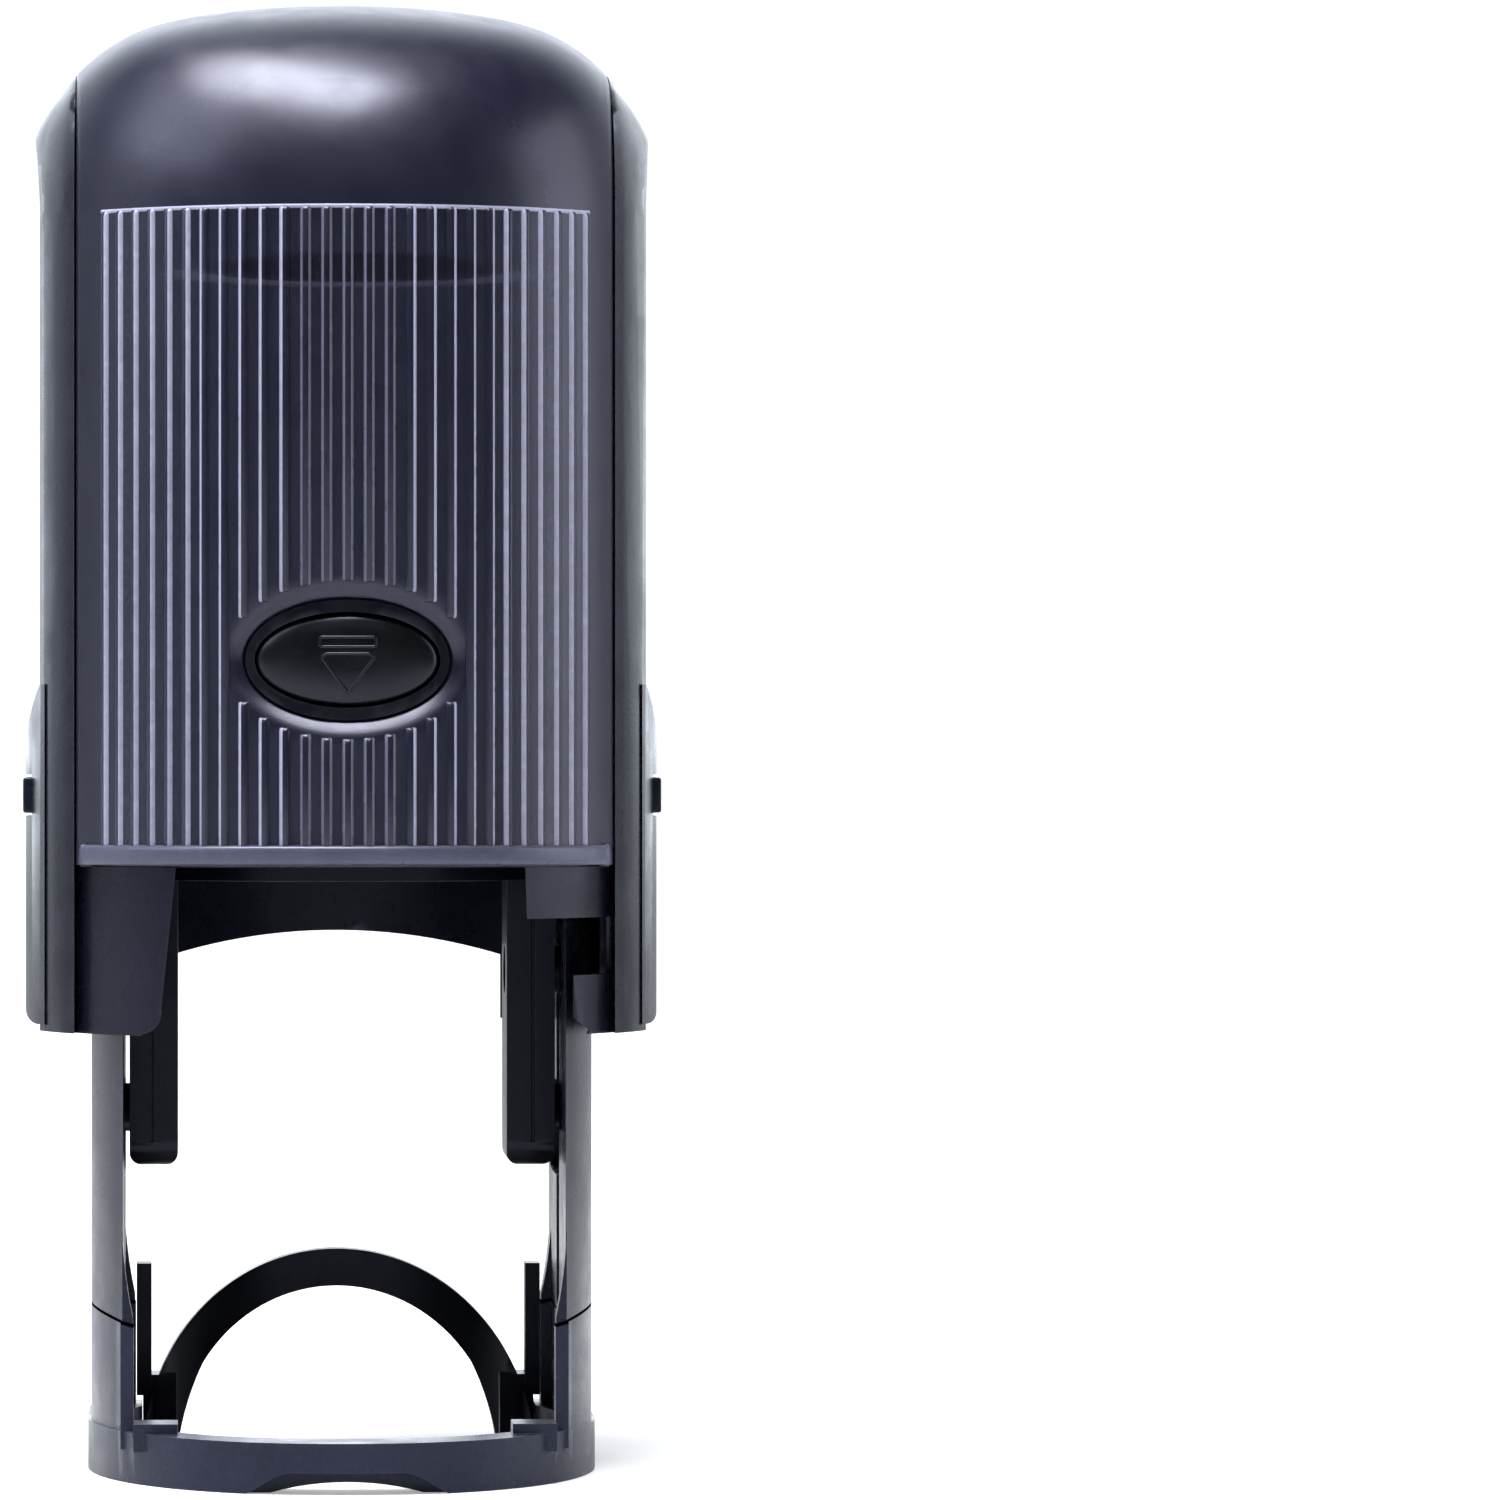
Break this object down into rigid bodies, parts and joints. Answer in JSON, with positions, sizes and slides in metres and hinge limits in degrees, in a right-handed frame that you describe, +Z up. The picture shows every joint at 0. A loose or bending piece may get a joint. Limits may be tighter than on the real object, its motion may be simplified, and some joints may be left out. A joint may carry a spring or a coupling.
{
  "type": "self-inking round stamp",
  "caption": "Self-inking round hand stamp: domed cap with a ribbed smoky cover slides down an open two-legged frame and turns a round rubber die over onto the paper.",
  "frame": {"origin": "centre of the base, on the surface the foot stands on", "axes": "+Z up along the cap's travel, -Y towards the front with the oval lock button, +X to the right seen from the front"},
  "size_m": [0.0396, 0.0398, 0.091],
  "materials": {
    "smoke_cover": "satin smoky translucent, raised ribs lighter",
    "slate_housing": "satin dark slate",
    "black_plastic": "satin",
    "dark_plastic": "satin",
    "foot_slate": "satin dark slate blue",
    "frame_slate": "satin dark slate blue",
    "felt": "ink-soaked felt",
    "spring_steel": "bright spring wire",
    "plate_grey": "matt",
    "cushion": "foam",
    "die_rubber": "inked rubber"
  },
  "bodies": {
    "frame": {"foot_ring": "foot_slate", "inner_frame": "frame_slate", "rear_arch": "black_plastic", "pad_cassette": "dark_plastic", "ink_pad": "felt", "return_spring": "spring_steel"},
    "cap": {"cap_housing": "slate_housing", "cap_cover": "smoke_cover", "yoke": "dark_plastic", "pivot_pin_left": "black_plastic", "pivot_pin_right": "black_plastic"},
    "front_button": {"front_lock_button": "black_plastic"},
    "rear_button": {"rear_lock_button": "black_plastic"},
    "die_carrier": {"die_holder": "black_plastic", "text_plate": "plate_grey", "die_cushion": "cushion", "rubber_die": "die_rubber"}
  },
  "joints": [
    {"name": "cap_press", "type": "slide", "parent": "frame", "child": "cap", "axis": [0, 0, -1], "range_m": [0, 0.02], "stiffness_N_per_m": 500, "springref_m": -0.012, "deforming": ["return_spring"]},
    {"name": "die_flip", "type": "hinge", "parent": "cap", "child": "die_carrier", "pos_m": [0, 0, 0.031], "axis": [1, 0, 0], "range_deg": [0, 180]},
    {"name": "front_lock_press", "type": "slide", "parent": "cap", "child": "front_button", "axis": [0, 1, 0], "range_m": [0, 0.0012], "stiffness_N_per_m": 800, "springref_m": -0.001},
    {"name": "rear_lock_press", "type": "slide", "parent": "cap", "child": "rear_button", "axis": [0, -1, 0], "range_m": [0, 0.0012], "stiffness_N_per_m": 800, "springref_m": -0.001}
  ],
  "couplings": [
    {"joint": "die_flip", "follows": "cap_press", "rad_per_m": 157.07}
  ]
}
